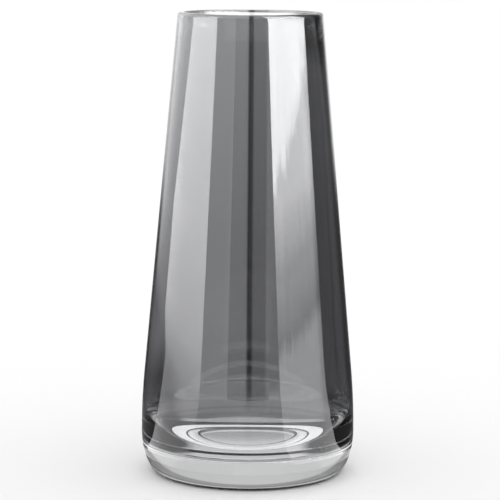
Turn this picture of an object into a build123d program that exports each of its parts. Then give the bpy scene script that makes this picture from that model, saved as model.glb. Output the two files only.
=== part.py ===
from build123d import *

import os
from math import acos, atan2, cos, hypot, sin, tan

# Tapered vase of cased glass, standing on its foot. Millimetres, +Z up.
# The origin is the centre of the foot, on the surface that the vase stands on.
# Three pieces of glass, joined hot:
#   clear_glass_base    thick clear base, with the inside floor dished into its top
#   clear_glass_wall    clear inner wall from the join to the lip, with a thick heel
#   smoke_glass_casing  thin smoke-grey layer over the outside of the wall

# Outside shape
height = 220.0                # foot to lip
rim_radius = 34.2             # outside of the lip
belly_radius = 51.0           # widest place
belly_height = 20.0           # height of the widest place
belly_curve_radius = 320.0    # long curve from the widest place into the straight taper
base_rounding_width = 9.0     # how far the rounded base comes in, from the widest place to the foot

# Wall and lip, clear wall and casing together
wall_thickness = 1.9          # in the straight part
lip_thickness = 4.2           # at the mouth
lip_rounding = 1.5            # fire-polished corners of the lip
lip_swell_height = 70.0       # how far below the lip the wall starts to thicken

# Smoke-grey casing
casing_thickness = 0.5
bare_rim = 0.2                # clear glass left between the casing and the rounding of the lip

# Join between the base and the wall
join_height = 15.0            # above the foot; the casing ends here too
join_crease = 0.35            # rounding of the two edges that meet outside
floor_dish = 0.5              # how far the flat inside floor lies below the join

# Heel of the wall
heel_width = 11.0             # from the edge of the flat floor out to the wall
heel_height = 20.0            # how far above the floor the heel runs out into the wall
heel_floor_reach = 5.0        # how far the heel curve keeps to the line of the floor
heel_wall_reach = 12.0        # how far it keeps to the line of the wall

# Underside, two shallow steps pressed into the base
foot_width = 10.5             # flat ring that the vase stands on, from its edge in to the outer step
step_width = 6.5              # from the outer step in to the inner one
recess_depth = 2.0            # outer step
well_depth = 3.0              # inner step, from the face of the outer one
step_rounding = 1.5


def taper_angle():
    """Angle between the straight wall and the axis, where the wall is tangent to the belly curve."""
    across = rim_radius - belly_radius + belly_curve_radius
    up = height - belly_height
    return atan2(up, across) - acos(belly_curve_radius / hypot(across, up))


angle = taper_angle()
taper_start = belly_height + belly_curve_radius * sin(angle)
foot_radius = belly_radius - base_rounding_width
floor_height = join_height - floor_dish
heel_top = floor_height + heel_height
casing_top = height - lip_rounding - bare_rim


def wall_point(z, inset=0.0):
    """Point of the straight tapered wall at height z, moved in by inset."""
    return (rim_radius + (height - z) * tan(angle) - inset, z)


floor_radius = wall_point(heel_top, wall_thickness)[0] - heel_width


def outer_section(inset=0.0):
    """Half section of all that lies inside the outer surface, moved in by inset."""
    belly = belly_radius - inset
    foot = foot_radius - inset
    bend_top = wall_point(taper_start, inset)
    bend_middle = (
        belly - belly_curve_radius * (1 - cos(angle / 2)),
        belly_height + belly_curve_radius * sin(angle / 2),
    )
    outline = [
        Line((0, height), wall_point(height, inset)),
        Line(wall_point(height, inset), bend_top),
        ThreePointArc(bend_top, bend_middle, (belly, belly_height)),
        EllipticalCenterArc((foot, belly_height), belly - foot, belly_height, -90, arc_size=90),
        Line((foot, 0), (0, 0)),
        Line((0, 0), (0, height)),
    ]
    return make_face(outline)


def cavity_section():
    """Half section of the inside space, open at the mouth."""
    wall_foot = wall_point(heel_top, wall_thickness)
    swell_foot = wall_point(height - lip_swell_height, wall_thickness)
    mouth = (rim_radius - lip_thickness, height)
    outline = [
        Line((0, floor_height), (floor_radius, floor_height)),
        Bezier(
            (floor_radius, floor_height),
            (floor_radius + heel_floor_reach, floor_height),
            wall_point(heel_top - heel_wall_reach, wall_thickness),
            wall_foot,
        ),
        Line(wall_foot, swell_foot),
        TangentArc(swell_foot, mouth, tangent=(-sin(angle), cos(angle))),
        Line(mouth, (0, height)),
        Line((0, height), (0, floor_height)),
    ]
    return make_face(outline)


def block_section(low, high):
    """Half section of a plain round block between two heights, as wide as the vase."""
    return Pos(0, low) * Rectangle(belly_radius, high - low, align=(Align.MIN, Align.MIN))


def underside_section():
    """Half section of the two steps pressed into the underside."""
    recess_radius = foot_radius - foot_width
    well_radius = recess_radius - step_width
    well_top = recess_depth + well_depth
    corners = [
        (0, 0),
        (recess_radius, 0),
        (recess_radius, recess_depth),
        (well_radius, recess_depth),
        (well_radius, well_top),
        (0, well_top),
    ]
    steps = make_face(Polyline(*corners, close=True))
    rounded = [v for v in steps.vertices() if v.X > 0 and v.Y > 0]
    return fillet(rounded, step_rounding)


def crease_corner(section):
    """The outermost corner of a section at the height of the join."""
    at_join = [v for v in section.vertices() if abs(v.Y - join_height) < join_crease / 2]
    return max(at_join, key=lambda v: v.X)


def casing_layer():
    """Half section of the space between the clear wall and the outer surface."""
    layer = outer_section() - outer_section(casing_thickness)
    return layer & block_section(join_height, casing_top)


def casing_section():
    """Half section of the smoke-grey layer, with its lower edge rounded at the join."""
    layer = casing_layer()
    return fillet(crease_corner(layer), join_crease)


def base_section():
    """Half section of the thick clear base, dished on top and stepped underneath."""
    base = outer_section() & block_section(0, join_height)
    base = fillet(crease_corner(base), join_crease)
    return base - cavity_section() - underside_section()


def wall_section():
    """Half section of the clear wall, from the heel that sits on the base up to the lip."""
    glass = outer_section() - cavity_section()
    lip = [v for v in glass.vertices() if v.Y > height - lip_rounding]
    glass = fillet(lip, lip_rounding)
    return glass - block_section(0, join_height) - casing_layer()


def turned(section):
    """Solid of revolution about the vase's axis, from a half section in radius and height."""
    return revolve(Plane.XZ * section, axis=Axis.Z)


os.makedirs("parts", exist_ok=True)
export_step(turned(base_section()), "parts/clear_glass_base.step")
export_step(turned(wall_section()), "parts/clear_glass_wall.step")
export_step(turned(casing_section()), "parts/smoke_glass_casing.step")
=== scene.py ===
# %% [markdown]
# # A smoke-grey vase of cased glass
# This lesson dresses the three glass pieces of a tapered vase: a thick clear base, a clear inner
# wall and a thin smoke-grey casing. Glass has no pattern to hide behind. What shows is the curve
# of the surface, how thick the glass is under it, and what it mirrors, so the lesson spends its
# effort on smooth turned shapes, on clean joins inside the glass, and on the studio around it.

# %% Load the frame
from math import acos, asin, atan2, cos, hypot, pi, radians, sin, tan

import bmesh
import bpy
from mathutils import Matrix, Vector
from mathutils.geometry import interpolate_bezier


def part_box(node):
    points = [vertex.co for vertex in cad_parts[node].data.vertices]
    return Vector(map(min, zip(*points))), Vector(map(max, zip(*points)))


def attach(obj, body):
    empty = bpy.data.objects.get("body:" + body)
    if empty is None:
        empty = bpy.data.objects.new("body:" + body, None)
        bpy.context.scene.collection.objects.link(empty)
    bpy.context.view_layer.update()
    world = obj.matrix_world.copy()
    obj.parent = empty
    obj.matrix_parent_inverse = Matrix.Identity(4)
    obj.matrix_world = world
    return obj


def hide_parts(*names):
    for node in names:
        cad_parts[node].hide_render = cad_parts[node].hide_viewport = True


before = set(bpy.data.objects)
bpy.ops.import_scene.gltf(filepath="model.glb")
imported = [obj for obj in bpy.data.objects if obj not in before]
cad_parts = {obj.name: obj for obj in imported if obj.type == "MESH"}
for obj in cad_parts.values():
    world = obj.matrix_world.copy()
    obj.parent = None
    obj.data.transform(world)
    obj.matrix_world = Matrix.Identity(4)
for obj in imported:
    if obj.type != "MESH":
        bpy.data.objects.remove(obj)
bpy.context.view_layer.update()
print("CAD nodes:", ", ".join(sorted(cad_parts)))

# %% [markdown]
# ## Sizes
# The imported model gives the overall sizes: its height, its widest radius, how thick the casing is
# and where it stops, and how high the join lies. The curves between those places are named here,
# in metres. They are the same curves as in the solid model, so nothing has to be fitted.

# %% Sizes read from the frame, and the curves between them
MM = 0.001

wall_low, wall_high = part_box("clear_glass_wall")
casing_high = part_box("smoke_glass_casing")[1]

height = wall_high.z
join_height = wall_low.z
casing_top = casing_high.z
belly_radius = casing_high.x
casing_thickness = belly_radius - wall_high.x

rim_radius = 34.2 * MM
belly_height = 20.0 * MM
belly_curve_radius = 320 * MM
base_rounding_width = 9.0 * MM

wall_thickness = 1.9 * MM
lip_thickness = 4.2 * MM
lip_rounding = 1.5 * MM
lip_swell_height = 70 * MM

floor_dish = 0.5 * MM
heel_width = 11.0 * MM
heel_height = 20 * MM
heel_floor_reach = 5 * MM
heel_wall_reach = 12 * MM

foot_width = 10.5 * MM
step_width = 6.5 * MM
recess_depth = 2.0 * MM
well_depth = 3.0 * MM
step_rounding = 1.5 * MM
join_crease = 0.35 * MM

across = rim_radius - belly_radius + belly_curve_radius
up = height - belly_height
taper = atan2(up, across) - acos(belly_curve_radius / hypot(across, up))
taper_start = belly_height + belly_curve_radius * sin(taper)
foot_radius = belly_radius - base_rounding_width
floor_height = join_height - floor_dish
heel_top = floor_height + heel_height
print(f"vase {height / MM:.0f} mm tall, {2 * belly_radius / MM:.1f} mm wide,")
print(f"casing {casing_thickness / MM:.2f} mm thick from {join_height / MM:.0f} mm up")

# %% [markdown]
# ## Drawing the section
# Every piece of the vase is round, so each is drawn once as a half section, in radius and height,
# and turned about the axis. A straight cone needs only its two ends. A curve needs points close
# enough together that a highlight runs over it without a corner, so three small helpers give the
# points of a straight, an arc and a Bezier curve.

# %% Helpers for the section
def straight(start, end, steps=1):
    """Points from start to end, both included."""
    start, end = Vector(start), Vector(end)
    return [start.lerp(end, i / steps) for i in range(steps + 1)]


def arc(centre, radii, first, last, steps):
    """Points of an ellipse about centre, from angle first to angle last."""
    turns = [first + (last - first) * i / steps for i in range(steps + 1)]
    return [Vector((centre[0] + radii[0] * cos(a), centre[1] + radii[1] * sin(a))) for a in turns]


def bezier(start, start_handle, end_handle, end, steps):
    """Points of one Bezier curve."""
    knots = [Vector((x, z, 0)) for x, z in (start, start_handle, end_handle, end)]
    return [Vector((p.x, p.y)) for p in interpolate_bezier(*knots, steps + 1)]


def tangent_arc(start, direction, end, steps):
    """Points of the arc that leaves start along direction and ends at end."""
    start, end, direction = Vector(start), Vector(end), Vector(direction)
    normal = Vector((-direction.y, direction.x))
    chord = end - start
    radius = chord.length_squared / (2 * chord.dot(normal))
    centre = start + normal * radius
    first = atan2(start.y - centre.y, start.x - centre.x)
    last = atan2(end.y - centre.y, end.x - centre.x)
    return arc(centre, (abs(radius), abs(radius)), first, last, steps)


def wall_point(z, inset=0.0):
    """Point of the straight tapered wall at height z, moved in by inset."""
    return Vector((rim_radius + (height - z) * tan(taper) - inset, z))


inside_foot = wall_point(heel_top, wall_thickness)
floor_radius = inside_foot.x - heel_width


def heel(steps):
    """The inside curve from the flat floor up into the wall, cut in two where it meets the join."""
    curve = bezier(
        (floor_radius, floor_height),
        (floor_radius + heel_floor_reach, floor_height),
        wall_point(heel_top - heel_wall_reach, wall_thickness),
        inside_foot,
        steps,
    )
    low = [p for p in curve if p.y < join_height]
    high = curve[len(low):]
    share = (join_height - low[-1].y) / (high[0].y - low[-1].y)
    meet = low[-1].lerp(high[0], share)
    return low + [meet], [meet] + high


def outside(inset, low, steps):
    """Outside of the vase from the end of the taper down to height low, moved in by inset."""
    centre = (belly_radius - inset - belly_curve_radius, belly_height)
    belly = arc(centre, (belly_curve_radius, belly_curve_radius), taper, 0, steps)
    rounding = arc(
        (foot_radius - inset, belly_height),
        (base_rounding_width, belly_height),
        0,
        -asin(1 - low / belly_height),
        steps,
    )
    return belly + rounding[1:]


# %% [markdown]
# ## Turning a section into glass
# The outline is spun stretch by stretch. Each stretch belongs to one finish, such as the open
# surface or the joined face, so the faces that its spin makes can take that finish at once. The
# rings that two stretches share are merged afterwards, which also closes the poles on the axis,
# and only then are the faces turned outwards. 256 steps round keep the outline round to a few
# thousandths of a millimetre, which matters because glass bends light by the slope of its faces.

# %% The lathe
TURN_STEPS = 256
SAME_PLACE = 0.0005 * MM      # points closer than this are one
SHARP_EDGE = radians(40)      # edges that turn more than this stay sharp


def turn(name, stretches, finishes):
    """A round piece, from stretches of (finish name, points in radius and height)."""
    mesh = bmesh.new()
    for finish, points in stretches:
        already = len(mesh.faces)
        ring = [mesh.verts.new((p[0], 0, p[1])) for p in points]
        line = [mesh.edges.new(pair) for pair in zip(ring, ring[1:])]
        bmesh.ops.spin(
            mesh, geom=ring + line, cent=(0, 0, 0), axis=(0, 0, 1), angle=2 * pi,
            steps=TURN_STEPS, use_merge=True,
        )
        mesh.faces.ensure_lookup_table()
        for face in mesh.faces[already:]:
            face.material_index = list(finishes).index(finish)
    bmesh.ops.remove_doubles(mesh, verts=mesh.verts[:], dist=SAME_PLACE)
    bmesh.ops.recalc_face_normals(mesh, faces=mesh.faces[:])
    open_edges = sum(not edge.is_manifold for edge in mesh.edges)
    volume = mesh.calc_volume()
    for face in mesh.faces:
        face.smooth = True
    data = bpy.data.meshes.new(name)
    mesh.to_mesh(data)
    mesh.free()
    data.set_sharp_from_angle(angle=SHARP_EDGE)
    for material in finishes.values():
        data.materials.append(material)
    piece = bpy.data.objects.new(name, data)
    bpy.context.scene.collection.objects.link(piece)
    print(f"{name}: {len(data.polygons)} faces, {open_edges} open edges, {volume * 1e6:.1f} ml")
    return piece


# %% [markdown]
# ## Shader maths in plain expressions
# A procedural finish is a little arithmetic on the position of the surface. Written as nodes it
# is long, so a small class wraps a socket and lets Python's own operators add the Math nodes.

# %% A finish, and sockets that can be added and multiplied
class Finish:
    """A material's node tree, with one method that adds any node."""

    def __init__(self, name):
        self.material = bpy.data.materials.new(name)
        self.material.use_nodes = True
        self.tree = self.material.node_tree
        self.tree.nodes.clear()

    def node(self, kind, settings=None, **inputs):
        made = self.tree.nodes.new("ShaderNode" + kind)
        for key, value in (settings or {}).items():
            setattr(made, key, value)
        for key, value in inputs.items():
            index = int(key[1:]) if key[0] == "_" and key[1:].isdigit() else key.replace("_", " ")
            socket = made.inputs[index]
            if isinstance(value, Socket):
                self.tree.links.new(value.socket, socket)
            elif isinstance(value, bpy.types.NodeSocket):
                self.tree.links.new(value, socket)
            else:
                socket.default_value = value
        return made

    def done(self, shader):
        self.node("OutputMaterial", Surface=shader)
        return self.material


class Socket:
    """A number that a node gives out. Operators on it add Math nodes."""

    def __init__(self, finish, socket):
        self.finish = finish
        self.socket = socket

    def _math(self, operation, *values):
        inputs = {f"_{i}": value for i, value in enumerate(values)}
        made = self.finish.node("Math", {"operation": operation}, **inputs)
        return Socket(self.finish, made.outputs[0])

    def __add__(self, other):
        return self._math("ADD", self, other)

    __radd__ = __add__

    def __sub__(self, other):
        return self._math("SUBTRACT", self, other)

    def __rsub__(self, other):
        return self._math("SUBTRACT", other, self)

    def __mul__(self, other):
        return self._math("MULTIPLY", self, other)

    __rmul__ = __mul__

    def __truediv__(self, other):
        return self._math("DIVIDE", self, other)

    def __pow__(self, other):
        return self._math("POWER", self, other)

    def angle(self, other):
        return self._math("ARCTAN2", self, other)

    def clamp(self):
        return Socket(self.finish, self.finish.node("Clamp", Value=self).outputs[0])


# %% [markdown]
# ## How blown glass is uneven
# Hot glass is drawn downwards as it is blown, so its surface keeps long, very shallow waves that
# run up and down, and a finer, softer orange peel where it lay against a mould. Here they are at
# most about two hundredths of a millimetre high. On a dull thing nobody would see them, but a
# mirror shows them at once, as edges of light that are not quite straight.

# %% The waves in the glass
WAVE_HEIGHT = 0.02 * MM
WAVES_PER_METRE = (55, 55, 9)
PEEL_PER_METRE = 160.0
PEEL_SHARE = 0.12


def glass_waves(finish):
    """A Normal for long upright waves with a fine soft peel on them."""
    place = finish.node("TexCoord").outputs["Object"]
    stretched = finish.node("Mapping", Vector=place, Scale=WAVES_PER_METRE).outputs[0]
    drawn = Socket(finish, finish.node("TexNoise", Vector=stretched, Scale=1.0, Detail=1.0).outputs[0])
    soft = finish.node("TexNoise", Vector=place, Scale=PEEL_PER_METRE, Detail=0.0).outputs[0]
    height_map = drawn + Socket(finish, soft) * PEEL_SHARE
    bump = finish.node("Bump", Strength=1.0, Distance=WAVE_HEIGHT, Height=height_map)
    return bump.outputs["Normal"]


# %% [markdown]
# ## Clear glass
# The clear glass is a refracting shader with the index of soda-lime glass. It has no colour of
# its own worth naming in a vase this size, only the faintest cool cast.

# %% Clear glass
CLEAR_COLOUR = (0.985, 0.99, 0.992, 1)
GLASS_INDEX = 1.5


def clear_glass(name):
    finish = Finish(name)
    shader = finish.node(
        "BsdfPrincipled",
        Base_Color=CLEAR_COLOUR,
        Roughness=0.0,
        IOR=GLASS_INDEX,
        Transmission_Weight=1.0,
        Normal=glass_waves(finish),
    )
    return finish.done(shader.outputs[0])


# %% [markdown]
# ## The hot join
# Where two pieces were joined hot, the glass is one: light crosses the face without bending. A
# renderer would bend it there, because it sees two closed solids, so the faces inside the join
# are given a finish that lets light straight through.

# %% Hot join
def hot_join(name):
    finish = Finish(name)
    return finish.done(finish.node("BsdfTransparent").outputs[0])


# %% [markdown]
# ## Smoke-grey casing
# The casing is half a millimetre of coloured glass fused over the clear wall. It bends no light
# of its own, because the clear glass under it has the same index, so it is made as a filter: it
# passes light straight on, darkened to smoke grey, and mirrors a little at its skin: four parts
# in a hundred where it faces you, nearly everything at the edges. That rise is written out as the
# fifth power of how far the skin is turned away, because the Fresnel node would treat light that
# leaves the vase as trapped in thick glass, and this skin has none. The colour thins out towards
# the top, where the bubble was stretched most.

# %% Smoke glass
SMOKE_DEEP = (0.60, 0.60, 0.615, 1)
SMOKE_THIN = (0.74, 0.74, 0.75, 1)
THINS_FROM = 0.11             # height at which the colour starts to thin
THINS_OVER = 0.11             # and how much higher it is thinnest
HEAD_ON_GLOSS = 0.04


def smoke_glass(name):
    finish = Finish(name)
    place = finish.node("TexCoord").outputs["Object"]
    level = Socket(finish, finish.node("SeparateXYZ", Vector=place).outputs["Z"])
    thinning = ((level - THINS_FROM) / THINS_OVER).clamp()
    deep = finish.node("BsdfTransparent", Color=SMOKE_DEEP).outputs[0]
    thin = finish.node("BsdfTransparent", Color=SMOKE_THIN).outputs[0]
    colour = finish.node("MixShader", _0=thinning, _1=deep, _2=thin).outputs[0]
    waves = glass_waves(finish)
    gloss = finish.node("BsdfGlossy", Color=(1, 1, 1, 1), Roughness=0.0, Normal=waves).outputs[0]
    turned_away = Socket(finish, finish.node("LayerWeight", Blend=0.5, Normal=waves).outputs["Facing"])
    mirror = HEAD_ON_GLOSS + turned_away ** 5 * (1 - HEAD_ON_GLOSS)
    return finish.done(finish.node("MixShader", _0=mirror, _1=colour, _2=gloss).outputs[0])


clear = clear_glass("clear glass")
joined = hot_join("hot join")
smoke = smoke_glass("smoke glass")

# %% [markdown]
# ## The clear base
# The base is a thick disc of clear glass. Its edge rolls under to a flat foot, and two shallow
# steps are pressed into its underside. Its top is the join, with the flat floor of the vase
# dished half a millimetre into it. The curve of the heel starts in that dish and runs on up the
# wall, so the two pieces share one curve, cut where the join meets it.

# %% Base
CURVE_STEPS = 24
GROOVE_STEPS = 6
JOIN_GAP = 0.01 * MM

recess_radius = foot_radius - foot_width
well_radius = recess_radius - step_width
well_top = recess_depth + well_depth


def rounded_step(edge_radius, low, high):
    """Underside of the base over one pressed step: up the wall of the step and in."""
    corner = (edge_radius - step_rounding, high - step_rounding)
    return [Vector((edge_radius, low))] + arc(corner, (step_rounding,) * 2, 0, pi / 2, GROOVE_STEPS)


def build_base():
    edge_radius = outside(0.0, join_height, CURVE_STEPS)[-1].x
    rolled = [p for p in outside(0.0, 0.0, 3 * CURVE_STEPS) if p.y < join_height - join_crease]
    crease_centre = (edge_radius - join_crease, join_height - join_crease)
    crease = arc(crease_centre, (join_crease,) * 2, pi / 2, 0, GROOVE_STEPS)
    shoulder_in = edge_radius - casing_thickness - JOIN_GAP
    dish = heel(2 * CURVE_STEPS)[0]
    under = straight((foot_radius, 0), (recess_radius, 0), 4)
    under += rounded_step(recess_radius, 0, recess_depth)
    under += rounded_step(well_radius, recess_depth, well_top)
    under += straight((well_radius - step_rounding, well_top), (0, well_top), 4)[1:]
    return turn(
        "clear_base",
        [
            ("clear", straight((0, floor_height), (floor_radius, floor_height), 6) + dish[1:]),
            ("join", [dish[-1], (shoulder_in, join_height)]),
            ("clear", [(shoulder_in, join_height)] + crease + rolled),
            ("clear", under),
        ],
        {"clear": clear, "join": joined},
    )


base = build_base()
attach(base, "root")
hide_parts("clear_glass_base")

# %% [markdown]
# ## The clear wall
# Inside the casing the wall is clear too. Low down it thickens into a heel that runs out over the
# base, and towards the mouth it swells into a fire-polished lip.

# %% Wall
def build_wall():
    under_casing = casing_thickness + JOIN_GAP
    edge_radius = outside(under_casing, join_height, CURVE_STEPS)[-1].x
    taper_line = [wall_point(casing_top, under_casing), wall_point(taper_start, under_casing)]
    skin = taper_line + outside(under_casing, join_height, CURVE_STEPS)[1:]
    swell_foot = wall_point(height - lip_swell_height, wall_thickness)
    swell = tangent_arc(
        swell_foot, (-sin(taper), cos(taper)), (rim_radius - lip_thickness, height), CURVE_STEPS
    )
    swell = [p for p in swell if p.y < height - lip_rounding]
    rising = heel(2 * CURVE_STEPS)[1]
    lip_in = swell[-1].x + lip_rounding
    lip_out = wall_point(height - lip_rounding).x - lip_rounding
    low_lip = height - lip_rounding
    lip = arc((lip_in, low_lip), (lip_rounding,) * 2, pi, pi / 2, GROOVE_STEPS)
    lip += arc((lip_out, low_lip), (lip_rounding,) * 2, pi / 2, 0, GROOVE_STEPS)
    ledge = [wall_point(casing_top), wall_point(casing_top, under_casing)]
    return turn(
        "clear_wall",
        [
            ("join", [(edge_radius, join_height), rising[0]]),
            ("clear", rising + swell + lip + ledge + skin[1:]),
        ],
        {"clear": clear, "join": joined},
    )


wall = build_wall()
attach(wall, "root")
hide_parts("clear_glass_wall")

# %% [markdown]
# ## The smoke-grey casing
# The casing lies on the wall from just under the lip to the join, where its edge is rounded off.
# Its inner face is joined, and its outer face and its two edges carry the colour.

# %% Casing
def build_casing():
    skin = [wall_point(casing_top), wall_point(taper_start)]
    skin += [p for p in outside(0.0, 0.0, 2 * CURVE_STEPS)[1:] if p.y > join_height + join_crease]
    edge_radius = outside(0.0, join_height, CURVE_STEPS)[-1].x
    edge_centre = (edge_radius - join_crease, join_height + join_crease)
    edge = arc(edge_centre, (join_crease,) * 2, 0, -pi / 2, GROOVE_STEPS)
    inside_edge = outside(casing_thickness, join_height, CURVE_STEPS)
    inner = [wall_point(casing_top, casing_thickness), wall_point(taper_start, casing_thickness)]
    inner += inside_edge[1:]
    return turn(
        "smoke_casing",
        [
            ("smoke", skin + edge + [inner[-1]]),
            ("join", inner),
            ("smoke", [inner[0], skin[0]]),
        ],
        {"smoke": smoke, "join": joined},
    )


casing = build_casing()
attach(casing, "root")
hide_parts("smoke_glass_casing")

# %% [markdown]
# ## The studio
# Glass is lit by what stands round it. A bright sheet becomes a pale band down the vase, a dark
# gap becomes a dark one, and because the wall tapers every band narrows with it. Each sheet here
# is a strip turned round the vase's axis. The sheets are there for the glass only, so the camera
# and the floor don't see them. A glow's strength is a number, or maths on its place.

# %% Sheets of light
SHEET_FACE = 4                # degrees round the axis that one face of a sheet covers


def glowing(name, strength):
    """A lamp's finish. strength is a number, or a function of x, y and z that gives a socket."""
    finish = Finish(name)
    if callable(strength):
        place = finish.node("TexCoord").outputs["Object"]
        parts = finish.node("SeparateXYZ", Vector=place).outputs
        strength = strength(finish, *(Socket(finish, part) for part in parts))
    return finish.done(finish.node("Emission", Color=(1, 1, 1, 1), Strength=strength).outputs[0])


def bent_sheet(name, profile, centre, width, strength, reflected, through):
    """A sheet of light turned about the axis, at an angle in degrees round from the front."""
    first = radians(centre - width / 2 - 90)
    mesh = bmesh.new()
    line = [mesh.verts.new((r * cos(first), r * sin(first), z)) for r, z in profile]
    edges = [mesh.edges.new(pair) for pair in zip(line, line[1:])]
    bmesh.ops.spin(
        mesh, geom=line + edges, cent=(0, 0, 0), axis=(0, 0, 1), angle=radians(width),
        steps=max(4, round(width / SHEET_FACE)),
    )
    data = bpy.data.meshes.new(name)
    mesh.to_mesh(data)
    mesh.free()
    data.materials.append(glowing(name, strength))
    sheet = bpy.data.objects.new(name, data)
    bpy.context.scene.collection.objects.link(sheet)
    sheet.visible_camera = False
    sheet.visible_diffuse = False
    sheet.visible_shadow = False
    sheet.visible_glossy = reflected
    sheet.visible_transmission = through
    print(f"{name}: {len(data.polygons)} faces, {width} degrees wide at {centre} degrees")
    return sheet


# %% [markdown]
# ## The window
# The brightest band on the vase is a window to the right with a curtain drawn across its foot.
# The curtain's edge climbs to the right and is a little ragged, and its folds show as thin upright
# streaks. All of that is maths on the place on the sheet: the angle round the vase moves the edge,
# and noise that hardly changes with height makes the folds.

# %% Window with a curtain
def step(value, low, high):
    """0 below low, 1 above high, straight in between. It runs backwards if high is the smaller."""
    return ((value - low) / (high - low)).clamp()


def layered(z, light, layers):
    """Light that gains with height. Each layer is (from height, to height, how much it adds)."""
    for low, high, gain in layers:
        light = light + step(z, low, high) * gain
    return light


WINDOW_FRAME = radians(34.5)
CURTAIN_FOOT = 0.185
CURTAIN_CLIMB = 0.055         # metres that its edge climbs for each radian round
CURTAIN_LAYERS = [(0.05, 0.10, 1.8), (0.11, 0.17, 4)]
FRAME_LEAN = 0.4              # radians that the frame leans for each metre up
SOFT_EDGE = 0.01
SKY_LIGHT = 6.5
SKY_STREAKS = 11


def window_light(finish, x, y, z):
    around = x.angle(y * -1)
    folds = finish.node("CombineXYZ", X=around * 26, Y=z * 1.5).outputs[0]
    fold = Socket(finish, finish.node("TexNoise", Vector=folds, Scale=1.0, Detail=2.0).outputs[0])
    fine = Socket(finish, finish.node("TexNoise", Vector=folds, Scale=4.0, Detail=2.0).outputs[0])
    ragged = (fold - 0.5) * 0.09 + (fine - 0.5) * 0.05
    edge = (around - WINDOW_FRAME) * CURTAIN_CLIMB + CURTAIN_FOOT + ragged
    open_glass = step(z, edge, edge + 0.012)
    sill = step(z, 0.045 + fold * 0.03, 0.03 + fold * 0.03)
    curtain = layered(z, 0.8 + sill * 2.0, CURTAIN_LAYERS)
    curtain = curtain * (0.55 + fold * 0.5 + fine * 0.4)
    sky = SKY_LIGHT + fine * SKY_STREAKS
    frame_edge = WINDOW_FRAME - z * FRAME_LEAN
    inside_frame = step(around, frame_edge, WINDOW_FRAME + SOFT_EDGE - z * FRAME_LEAN)
    on_table = step(z, 0.03, 0.01)
    return (curtain + (sky - curtain) * open_glass) * inside_frame + (1 - inside_frame) * on_table


# %% [markdown]
# ## The lights on the left, and the dark cards
# On the left a broad soft light gives the second band. Behind it the light falls away, and close
# to the table it is nearly dark, which is what draws the vase's lower outline. The sheets on this
# side and on the right run on over the table almost to the foot of the vase, because the lowest
# part of the wall mirrors the table.

# %% Left lights and right card
LEFT_EDGE = 1.95              # radians round to the left, at 0.12 m up
LEFT_LEAN = 1.4               # radians that this edge leans for each metre up
BACK_EDGE = radians(150)
BACK_FADE = 0.1
CARD_GLOW = 0.05              # the little light that a black card still gives back
SIDE_LAYERS = [(0.0, 0.03, 0.5), (0.03, 0.10, 0.8), (0.12, 0.28, 1.0)]
BROAD_LAYERS = [(0.0, 0.04, 2.0), (0.03, 0.12, 2.2), (0.12, 0.3, 1.3)]


def left_side(z):
    return layered(z, 0.1, SIDE_LAYERS)


def left_light(finish, x, y, z):
    around = x.angle(y * -1)
    edge = (z - 0.12) * LEFT_LEAN - LEFT_EDGE + step(z, 0.04, 0.0) * 0.3
    broad = layered(z, 2.0, BROAD_LAYERS)
    side = left_side(z)
    return side + (broad - side) * step(around, edge, edge + SOFT_EDGE)


def left_back(finish, x, y, z):
    around = x.angle(y * -1)
    outline = step(around, BACK_EDGE * -1, BACK_FADE - BACK_EDGE)
    return left_side(z) * (outline + (1 - outline) * step(z, 0.03, 0.09) * 0.5) + 0.02


def right_card(finish, x, y, z):
    around = x.angle(y * -1)
    return CARD_GLOW + step(around, BACK_EDGE, BACK_EDGE + BACK_FADE) * step(z, 0.05, 0.10) * 0.6


# %% [markdown]
# ## What shows through the glass
# Two things show through a vase: the table under it, and what stands behind it. The table is a pad
# of light, darker in its middle, so the clear base glows. A grey sweep stands close all round,
# lightest in a strip at its foot. It darkens on the right, low down on the left, and at both
# flanks, as the black cards do that are stood beside a glass to draw its edges dark. A dark upright
# line near the middle is painted shade of a fold in the sweep, and behind the rim the sweep has a
# painted patch of light from behind.

# %% Light table and sweep
PAD_RADIUS = 41 * MM
PAD_LIGHT = 1.6
SWEEP_GREY = 0.44
OVER_RIM_LIGHT = 1.2


def within(x, outer, inner):
    """1 nearer to the middle than inner, 0 farther out than outer, to the left and the right."""
    return step(x * x, outer ** 2, inner ** 2)


def upright_band(x, left, right):
    """1 from 1 mm past left to right, fading out over 1 mm at each side."""
    return step(x, left, left + MM) * step(x, right + MM, right)


def table_light(finish, x, y, z):
    middle = step(x * x + y * y, (28 * MM) ** 2, (24 * MM) ** 2)
    return PAD_LIGHT - middle * (0.55 + step(y, -12 * MM, 8 * MM) * 0.3)


def under_light(finish, x, y, z):
    return 0.02 + within(x, 31 * MM, 26 * MM) * 0.85


SWEEP_RADIUS = 56 * MM


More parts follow.
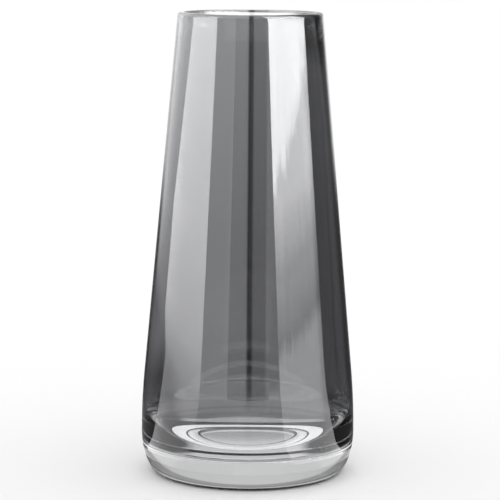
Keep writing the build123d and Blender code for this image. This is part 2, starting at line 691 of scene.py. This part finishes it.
def sweep_light(finish, x, y, z):
    foot = step(z, 26 * MM, 14 * MM)
    table_line = step(z, 11.5 * MM, 10.5 * MM)
    beside = step(y / SWEEP_RADIUS, 0.4, 0.0) * step(y / SWEEP_RADIUS, -0.5, -0.3)
    right = step(x + z * 0.06, 39 * MM, 41 * MM)
    left = step(x + z * 0.15, -30 * MM, -36 * MM) * step(z, 60 * MM, 40 * MM)
    low_right = step(x, 34 * MM, 36 * MM) * step(z, 40 * MM, 20 * MM)
    high_right = right * step(z, 196 * MM, 206 * MM)
    card = 1 - right * 0.75 - left * 0.9 - low_right * 0.15 - high_right * 0.2
    # painted shade of a fold: a dark upright line down the middle of the sweep, with a broader dim
    # band to its right
    fold_shade = upright_band(x, -1.5 * MM, 1.5 * MM) * 0.5
    dark = upright_band(x, -1.0 * MM, 8.5 * MM) * 0.36
    # painted light from behind: a bright patch on the sweep just over the rim
    over_rim = step(z, 214.5 * MM, 215.5 * MM) * within(x, 30 * MM, 28 * MM)
    plain = SWEEP_GREY - foot * 0.1 + table_line * 0.24
    grey = plain * card * (1 - beside * 0.6) * (1 - (fold_shade + dark) * (1 - foot))
    return grey + over_rim * OVER_RIM_LIGHT


LIFT = 0.05 * MM              # keeps a sheet off the floor
STUDIO_RADIUS = 0.8
STUDIO_HEIGHT = 1.2
PAD = [(0.0, LIFT), (PAD_RADIUS, LIFT)]
# Painted contact shade: a black ring round the foot, seen mirrored in the glass and through it, where
# the foot meets the table.
CONTACT_SHADE_RING = [(PAD_RADIUS, LIFT), (43.8 * MM, 1.5 * MM), (SWEEP_RADIUS, 1.5 * MM)]
SWEEP = [(SWEEP_RADIUS, LIFT), (SWEEP_RADIUS, 0.4)]
TALL = [(STUDIO_RADIUS, 0.0), (STUDIO_RADIUS, STUDIO_HEIGHT)]
OVER_TABLE = [(0.07, 0.4 * MM), (STUDIO_RADIUS, 0.4 * MM), (STUDIO_RADIUS, STUDIO_HEIGHT)]
bent_sheet("front gap", TALL, 0, 44, CARD_GLOW, True, False)
bent_sheet("window", OVER_TABLE, 56.7, 69.4, window_light, True, False)
bent_sheet("right card", OVER_TABLE, 135.7, 88.6, right_card, True, False)
bent_sheet("left back", OVER_TABLE, -146, 68, left_back, True, False)
bent_sheet("left light", OVER_TABLE, -82, 60, left_light, True, False)
bent_sheet("light table", PAD, 0, 360, table_light, False, True)
bent_sheet("light under the foot", PAD, 0, 360, under_light, True, False)
bent_sheet("painted contact shade at the foot", CONTACT_SHADE_RING, 0, 360, 0.0, True, True)
bent_sheet("sweep", SWEEP, 0, 360, sweep_light, False, True)

# %% [markdown]
# ## Floor and even light
# The floor is plain and pale, and the same even light comes from all sides, a little brighter than
# the floor needs, so that floor and background run together without a horizon.

# %% Floor and even light from all sides
FLOOR_HALF_SIDE = 6
FLOOR_COLOUR = (0.92, 0.92, 0.92, 1)
EVEN_LIGHT = 1.1
WHITE = (1, 1, 1, 1)


def pale_floor(name):
    mesh = bmesh.new()
    bmesh.ops.create_grid(mesh, x_segments=1, y_segments=1, size=FLOOR_HALF_SIDE)
    data = bpy.data.meshes.new(name)
    mesh.to_mesh(data)
    mesh.free()
    finish = Finish(name)
    matt = finish.node("BsdfDiffuse", Color=FLOOR_COLOUR).outputs[0]
    data.materials.append(finish.done(matt))
    floor = bpy.data.objects.new(name, data)
    bpy.context.scene.collection.objects.link(floor)


def even_light(strength):
    world = bpy.data.worlds.new("even light")
    bpy.context.scene.world = world
    world.use_nodes = True
    tree = world.node_tree
    tree.nodes.clear()
    seen = tree.nodes.new("ShaderNodeBackground")
    lit = tree.nodes.new("ShaderNodeBackground")
    lit.inputs["Strength"].default_value = strength
    choose = tree.nodes.new("ShaderNodeMixShader")
    path = tree.nodes.new("ShaderNodeLightPath")
    out = tree.nodes.new("ShaderNodeOutputWorld")
    tree.links.new(path.outputs["Is Camera Ray"], choose.inputs[0])
    tree.links.new(lit.outputs[0], choose.inputs[1])
    tree.links.new(seen.outputs[0], choose.inputs[2])
    tree.links.new(choose.outputs[0], out.inputs["Surface"])
    lit.inputs["Color"].default_value = WHITE
    seen.inputs["Color"].default_value = WHITE


pale_floor("floor")
even_light(EVEN_LIGHT)
scene = bpy.context.scene
scene.view_settings.view_transform = "Standard"
scene.cycles.max_bounces = 24
scene.cycles.transmission_bounces = 24
scene.cycles.glossy_bounces = 12
scene.cycles.transparent_max_bounces = 24

# %% [markdown]
# ## The camera
# A long lens about 1.1 m away and 44 mm above the rim looks gently down, turned a fraction of a
# degree about its own line of sight.

# %% Camera
LENS_MM = 166.032             # on a sensor 36 mm wide
CAMERA_PLACE = (0.00057, -1.09, 0.264)
LOOKS_DOWN = 8.2              # degrees
LEANS = 0.4                   # degrees
camera_data = bpy.data.cameras.new("camera")
camera_data.sensor_width = 36
camera_data.lens = LENS_MM
camera_data.clip_start = 0.01
camera = bpy.data.objects.new("camera", camera_data)
scene.collection.objects.link(camera)
pitch = Matrix.Rotation(radians(90 - LOOKS_DOWN), 4, "X")
lean = Matrix.Rotation(radians(LEANS), 4, "Z")
camera.matrix_world = Matrix.Translation(CAMERA_PLACE) @ pitch @ lean
scene.camera = camera
